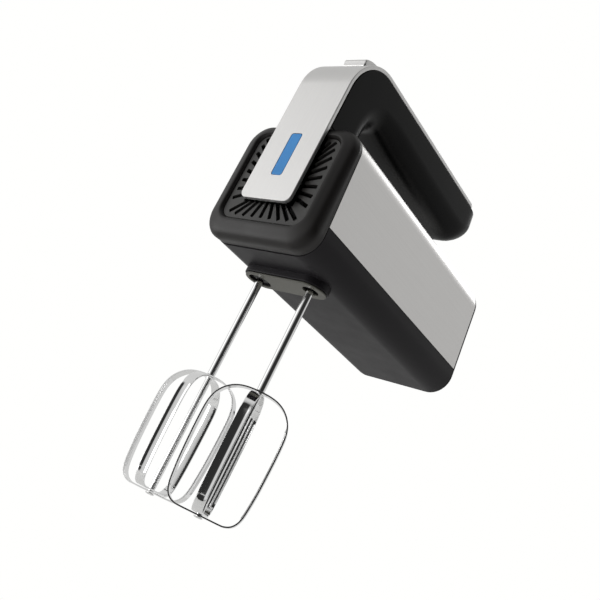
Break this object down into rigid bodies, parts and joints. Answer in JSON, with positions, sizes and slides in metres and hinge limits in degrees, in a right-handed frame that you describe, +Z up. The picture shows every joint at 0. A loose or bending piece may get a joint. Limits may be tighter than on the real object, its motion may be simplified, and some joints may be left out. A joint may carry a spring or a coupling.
{
  "type": "hand mixer",
  "caption": "Two-beater hand mixer: boxy steel-sided motor body, cantilevered strap handle over a vented front, and interleaved four-blade loop beaters.",
  "frame": {"origin": "centre of the grip, where the hand holds the mixer", "axes": "+Z up along the beater axes, -Y towards the vented front, +X across the body; one beater on each side of X = 0"},
  "size_m": [0.0942, 0.2158, 0.3117],
  "materials": {
    "black_shell": "fine satin moulded",
    "inner_black": "plain moulded",
    "cover_steel": "brushed lengthwise, clear sealed",
    "socket_grey": "satin moulded",
    "handle_black": "soft satin moulded",
    "strap_silver": "fine satin silver",
    "lens_blue": "clear tinted",
    "switch_body": "plain moulded",
    "circuit_green": "solder-masked laminate",
    "frame_nylon": "dark glass-filled nylon",
    "bronze": "sintered",
    "ground_steel": "ground",
    "core_iron": "varnished laminations",
    "copper_wire": "enamelled wire",
    "carbon": "pressed carbon",
    "screw_steel": "zinc plated",
    "beater_chrome": "polished"
  },
  "bodies": {
    "housing": {"lower_housing": "black_shell", "upper_housing": "inner_black", "steel_cover": "cover_steel", "front_bezel": "black_shell", "vent_grille": "black_shell", "rear_cap": "black_shell", "socket_plate": "socket_grey", "handle_shell": "handle_black", "handle_strap": "strap_silver", "indicator_lens": "lens_blue", "speed_switch": "switch_body", "led_board": "circuit_green", "control_board": "circuit_green", "gear_frame": "frame_nylon", "gear_cover": "frame_nylon", "rear_bracket": "frame_nylon", "spindle_bush_left": "bronze", "spindle_bush_right": "bronze", "bearing_front": "bronze", "bearing_rear": "bronze", "brush_holder_left": "bronze", "brush_holder_right": "bronze", "motor_bolt_left": "ground_steel", "motor_bolt_right": "ground_steel", "brush_spring_left": "ground_steel", "brush_spring_right": "ground_steel", "ejector_spring": "ground_steel", "field_core": "core_iron", "field_coil_left": "copper_wire", "field_coil_right": "copper_wire", "brush_left": "carbon", "brush_right": "carbon", "frame_screw_1": "screw_steel", "frame_screw_2": "screw_steel", "frame_screw_3": "screw_steel", "frame_screw_4": "screw_steel", "cover_screw_1": "screw_steel", "cover_screw_2": "screw_steel", "handle_screw_1": "screw_steel", "handle_screw_2": "screw_steel", "rear_screw_1": "screw_steel", "rear_screw_2": "screw_steel"},
    "rotor": {"armature_shaft": "ground_steel", "armature_core": "core_iron", "winding_front": "copper_wire", "winding_rear": "copper_wire", "commutator": "copper_wire", "cooling_fan": "inner_black"},
    "left_spindle": {"spindle_gear_left": "frame_nylon"},
    "right_spindle": {"spindle_gear_right": "frame_nylon"},
    "left_beater": {"beater_shaft_left": "beater_chrome", "beater_loop_outer_left": "beater_chrome", "beater_loop_inner_left": "beater_chrome", "beater_collar_left": "inner_black"},
    "right_beater": {"beater_shaft_right": "beater_chrome", "beater_loop_outer_right": "beater_chrome", "beater_loop_inner_right": "beater_chrome"},
    "speed_control": {"speed_slider": "strap_silver"},
    "ejector": {"ejector_yoke": "frame_nylon"}
  },
  "joints": [
    {"name": "motor_spin", "type": "hinge", "parent": "housing", "child": "rotor", "pos_m": [0, -0.06, -0.088], "axis": [0, 1, 0], "continuous": true},
    {"name": "left_spindle_spin", "type": "hinge", "parent": "housing", "child": "left_spindle", "pos_m": [-0.022, -0.06, -0.088], "axis": [0, 0, 1], "continuous": true},
    {"name": "right_spindle_spin", "type": "hinge", "parent": "housing", "child": "right_spindle", "pos_m": [0.022, -0.06, -0.088], "axis": [0, 0, 1], "continuous": true},
    {"name": "left_beater_release", "type": "slide", "parent": "left_spindle", "child": "left_beater", "axis": [0, 0, -1], "range_m": [0, 0.04]},
    {"name": "right_beater_release", "type": "slide", "parent": "right_spindle", "child": "right_beater", "axis": [0, 0, -1], "range_m": [0, 0.04]},
    {"name": "speed_select", "type": "hinge", "parent": "housing", "child": "speed_control", "pos_m": [0, -0.08, -0.015], "axis": [1, 0, 0], "range_deg": [0, 12]},
    {"name": "ejector_press", "type": "slide", "parent": "housing", "child": "ejector", "axis": [0, 0, -1], "range_m": [0, 0.005], "stiffness_N_per_m": 400, "springref_m": -0.003, "deforming": ["ejector_spring"]}
  ],
  "couplings": [
    {"joint": "left_spindle_spin", "follows": "motor_spin", "ratio": 0.029412},
    {"joint": "right_spindle_spin", "follows": "motor_spin", "ratio": -0.029412}
  ]
}
